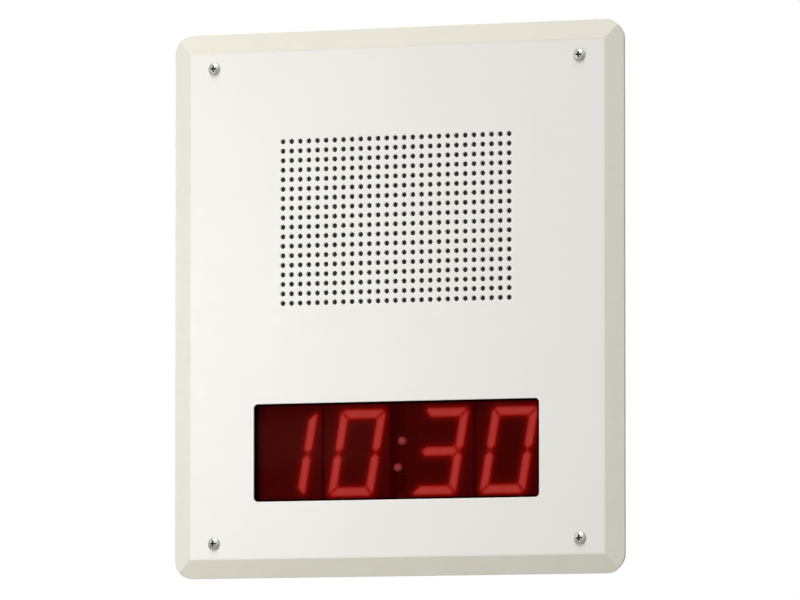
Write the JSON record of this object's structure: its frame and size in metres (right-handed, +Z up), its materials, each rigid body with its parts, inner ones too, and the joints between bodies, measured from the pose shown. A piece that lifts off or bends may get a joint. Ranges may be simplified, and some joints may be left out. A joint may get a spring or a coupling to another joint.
{
  "type": "network digital clock",
  "caption": "Flush wall clock with a red seven segment display and a loudspeaker behind a perforated steel front panel, on a recessed back box.",
  "frame": {"origin": "centre of the back box's rear face, which is also the centre of its four wall fixing holes", "axes": "+Z up the wall, +Y into the wall, +X to the right as the clock is read"},
  "size_m": [0.328, 0.0571, 0.364],
  "materials": {
    "panel_paint": "satin off-white powder coat on pressed steel",
    "lens_red": "clear red acrylic sheet, polished",
    "screw_dark": "dark zinc plated steel",
    "zinc_steel": "bright zinc plated steel",
    "box_steel": "galvanised sheet steel",
    "seal_foam": "closed cell black foam",
    "nylon": "natural nylon",
    "digit_shell": "moulded dark grey plastic",
    "segment_lit": "cast diffusing resin, lit red",
    "segment_dark": "cast diffusing resin, unlit",
    "colon_glow": "red lamp, lit",
    "lamp_green": "green tinted lamp",
    "black_plastic": "moulded black plastic",
    "chip_resin": "moulded black chip resin",
    "board_laminate": "green solder resist on glass laminate",
    "tinned_pin": "tinned wire",
    "jack_shield": "nickel plated shield",
    "gold_contact": "gold flashed contacts",
    "core_ferrite": "sintered ferrite",
    "can_sleeve": "dark blue sleeve on an aluminium can",
    "sink_alloy": "extruded aluminium",
    "button_cap": "moulded orange plastic",
    "white_plastic": "moulded white nylon",
    "lead_sleeve": "red flexible wire insulation",
    "acoustic_cloth": "black open weave acoustic cloth",
    "basket_paint": "black enamel on pressed steel",
    "phenolic": "brown phenolic board",
    "surround_rubber": "moulded soft rubber",
    "cone_paper": "pressed grey paper pulp",
    "coil_copper": "enamelled copper wire on a former",
    "spider_cloth": "resin stiffened woven cloth",
    "pole_steel": "zinc plated soft iron",
    "grommet_rubber": "moulded black rubber",
    "earth_green": "green dyed plated steel"
  },
  "bodies": {
    "clock": {"front_panel": "panel_paint", "panel_screws": "screw_dark", "sealing_strip": "seal_foam", "panel_studs": "zinc_steel", "display_lens": "lens_red", "lens_spacers": "nylon", "hour_tens_digit": "digit_shell", "hour_units_digit": "digit_shell", "minute_tens_digit": "digit_shell", "minute_units_digit": "digit_shell", "lit_segments": "segment_lit", "unlit_segments": "segment_dark", "digit_pins": "tinned_pin", "colon_holder": "black_plastic", "colon_lamps": "colon_glow", "display_board": "board_laminate", "driver_chips": "chip_resin", "link_header": "black_plastic", "link_socket": "black_plastic", "board_standoffs": "zinc_steel", "board_screws": "zinc_steel", "main_board": "board_laminate", "network_jack": "jack_shield", "jack_contacts": "gold_contact", "line_transformer": "chip_resin", "power_transformer": "core_ferrite", "power_inductors": "core_ferrite", "capacitors": "can_sleeve", "processor_chip": "chip_resin", "memory_chips": "chip_resin", "amplifier_chip": "chip_resin", "heat_sink": "sink_alloy", "clock_crystal": "jack_shield", "status_lamps": "lamp_green", "reset_switch": "black_plastic", "speaker_header": "white_plastic", "speaker_plug": "white_plastic", "speaker_lead": "lead_sleeve", "grille_cloth": "acoustic_cloth", "speaker_baffle": "zinc_steel", "baffle_nuts": "zinc_steel", "speaker_foam": "seal_foam", "speaker_screws": "zinc_steel", "speaker_basket": "basket_paint", "terminal_strip": "phenolic", "terminal_lugs": "tinned_pin", "cone_surround": "surround_rubber", "speaker_spider": "spider_cloth", "pole_plate": "pole_steel", "speaker_magnet": "core_ferrite", "pole_yoke": "pole_steel", "back_box": "box_steel", "box_ends": "box_steel", "corner_nuts": "zinc_steel", "cable_grommet": "grommet_rubber", "earth_screw": "earth_green"},
    "cone": {"speaker_cone": "cone_paper", "dust_cap": "cone_paper", "voice_coil": "coil_copper"},
    "button": {"reset_button": "button_cap"}
  },
  "joints": [
    {"name": "cone_travel", "type": "slide", "parent": "clock", "child": "cone", "axis": [0, -1, 0], "range_m": [-0.002, 0.002], "stiffness_N_per_m": 1200, "deforming": ["cone_surround", "speaker_spider"]},
    {"name": "reset_press", "type": "slide", "parent": "clock", "child": "button", "axis": [0, -1, 0], "range_m": [0, 0.0003], "stiffness_N_per_m": 1000, "springref_m": -0.001}
  ]
}
